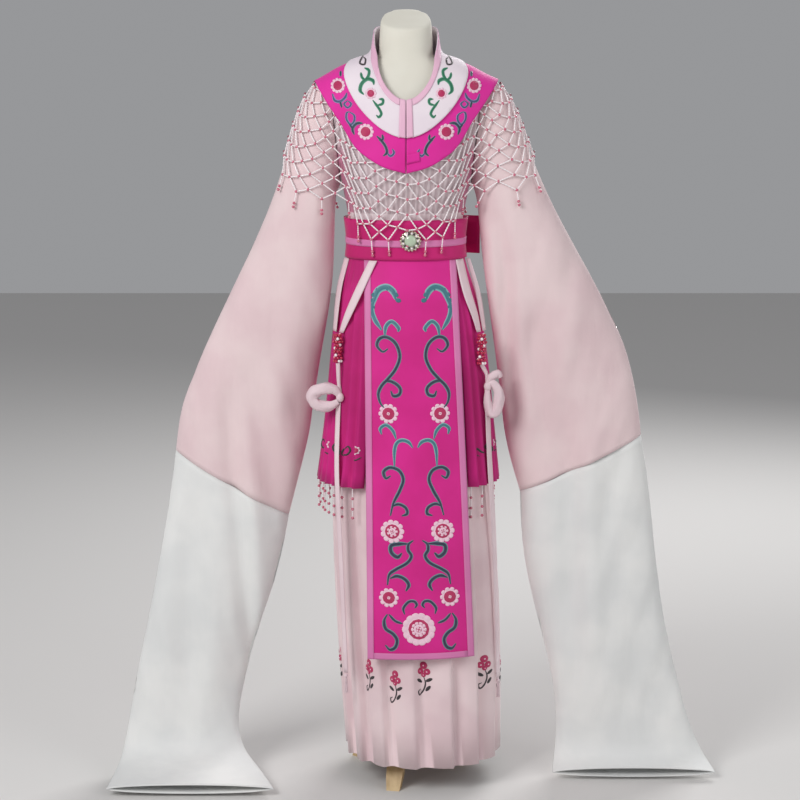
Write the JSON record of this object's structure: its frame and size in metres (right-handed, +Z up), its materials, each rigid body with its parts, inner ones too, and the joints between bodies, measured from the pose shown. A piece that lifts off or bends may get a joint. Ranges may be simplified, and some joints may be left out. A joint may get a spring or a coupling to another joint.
{
  "type": "opera robe with long water sleeves on a limbless dress form",
  "caption": "Pale pink stage robe with wide sleeves and long white water sleeves, layered collars, bead net, belt, apron and pleated skirts, worn on a limbless dress form with a wooden tripod.",
  "frame": {"origin": "on the floor, below the middle of the whole outline's box", "axes": "+Z up along the dress form, +X to the viewer's right, so that the robe's front looks towards -Y"},
  "size_m": [1.269, 0.3472, 1.5986],
  "materials": {
    "form": "plain cream cotton jersey cover",
    "wood": "satin varnished light wood",
    "sheer_cloth": "sheer gathered gauze",
    "pale_pink_cloth": "soft crepe silk",
    "white_cloth": "thin white silk",
    "magenta_cloth": "embroidered satin",
    "deep_magenta_cloth": "embroidered satin over a stiff core",
    "lilac_cloth": "satin bias and ribbon",
    "collar_cloth": "embroidered white satin",
    "beads": "white and pink bead strings",
    "stone": "pale green stone in a ring of small stones"
  },
  "bodies": {
    "root": {"dress_form": "form", "stand_pole": "wood", "stand_leg_front": "wood", "stand_leg_right": "wood", "stand_leg_left": "wood", "bodice_front": "sheer_cloth", "bodice_back": "sheer_cloth", "sleeve_left": "pale_pink_cloth", "sleeve_right": "pale_pink_cloth", "water_sleeve_left": "white_cloth", "water_sleeve_right": "white_cloth", "underskirt": "pale_pink_cloth", "overskirt_left": "magenta_cloth", "overskirt_right": "magenta_cloth", "skirt_fringe_left": "beads", "skirt_fringe_right": "beads", "apron_panel": "magenta_cloth", "apron_border_left": "lilac_cloth", "apron_border_right": "lilac_cloth", "apron_border_hem": "lilac_cloth", "belt": "deep_magenta_cloth", "belt_ribbon": "lilac_cloth", "belt_end": "deep_magenta_cloth", "brooch": "stone", "cloud_collar": "magenta_cloth", "cloud_collar_tab": "magenta_cloth", "white_collar": "collar_cloth", "neckline_bias": "lilac_cloth", "collar_placket_left": "lilac_cloth", "collar_placket_right": "lilac_cloth", "bead_net_front": "beads", "net_fringe_front": "beads", "bead_net_back": "beads", "net_fringe_back": "beads", "ribbon_left_front": "pale_pink_cloth", "ribbon_left_side": "pale_pink_cloth", "bead_cluster_left": "beads", "bow_left": "pale_pink_cloth", "streamer_left": "pale_pink_cloth", "tassel_left": "pale_pink_cloth", "ribbon_right_front": "pale_pink_cloth", "ribbon_right_side": "pale_pink_cloth", "bead_cluster_right": "beads", "bow_right": "pale_pink_cloth", "streamer_right": "pale_pink_cloth", "tassel_right": "pale_pink_cloth"}
  },
  "joints": []
}
